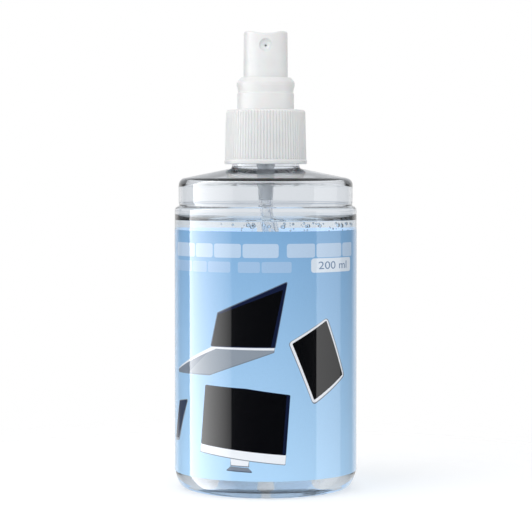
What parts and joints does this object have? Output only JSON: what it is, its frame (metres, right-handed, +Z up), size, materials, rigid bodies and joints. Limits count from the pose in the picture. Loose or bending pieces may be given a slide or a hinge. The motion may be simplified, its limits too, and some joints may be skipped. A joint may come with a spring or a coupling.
{
  "type": "lens cleaning spray bottle",
  "caption": "Clear round spray bottle of lens cleaner with a wrap-round label and a white fine-mist pump on a ribbed screw closure.",
  "frame": {"origin": "centre of the base, on the surface that the bottle stands on", "axes": "+Z up along the bottle's axis, the nozzle faces -Y"},
  "size_m": [0.057, 0.057, 0.1425],
  "materials": {
    "pet_clear": "clear, polished, blow-moulded PET",
    "label_film": "glossy printed film, light blue",
    "liquid": "clear water-thin liquid",
    "white_pp": "satin white polypropylene",
    "natural_pp": "translucent natural polypropylene",
    "tube_pe": "translucent extruded polyethylene",
    "seal_rubber": "matt soft elastomer",
    "gasket_foam": "white foamed polyethylene",
    "spring_steel": "drawn stainless wire",
    "ball_steel": "polished stainless ball"
  },
  "bodies": {
    "bottle": {"bottle": "pet_clear", "label": "label_film", "cleaning_liquid": "liquid"},
    "pump": {"collar": "white_pp", "pump_housing": "natural_pp", "gland": "natural_pp", "stem_seal": "seal_rubber", "neck_gasket": "gasket_foam", "dip_tube": "tube_pe", "return_spring": "spring_steel"},
    "closure": {"screw_closure": "white_pp"},
    "plunger": {"pump_stem": "natural_pp", "valve_rod": "natural_pp", "preload_spring": "spring_steel"},
    "sleeve": {"piston": "natural_pp"},
    "head": {"actuator": "white_pp", "nozzle_insert": "white_pp"},
    "check_ball": {"inlet_ball": "ball_steel"}
  },
  "joints": [
    {"name": "thread_rise", "type": "slide", "parent": "bottle", "child": "pump", "axis": [0, 0, 1], "range_m": [0, 0.00476]},
    {"name": "closure_unscrew", "type": "hinge", "parent": "pump", "child": "closure", "pos_m": [0, 0, 0.11], "axis": [0, 0, 1], "range_deg": [0, 540]},
    {"name": "spray_stroke", "type": "slide", "parent": "pump", "child": "plunger", "axis": [0, 0, -1], "range_m": [0, 0.0045], "stiffness_N_per_m": 600, "springref_m": -0.008, "deforming": ["return_spring"]},
    {"name": "button_spin", "type": "hinge", "parent": "plunger", "child": "head", "pos_m": [0, 0, 0.13], "axis": [0, 0, 1], "continuous": true},
    {"name": "piston_slip", "type": "slide", "parent": "plunger", "child": "sleeve", "axis": [0, 0, 1], "range_m": [0, 0.0006], "stiffness_N_per_m": 60, "springref_m": -0.01, "deforming": ["preload_spring"]},
    {"name": "ball_lift", "type": "slide", "parent": "pump", "child": "check_ball", "axis": [0, 0, 1], "range_m": [0, 0.0008]}
  ],
  "couplings": [
    {"joint": "closure_unscrew", "follows": "thread_rise", "rad_per_m": 1979}
  ]
}
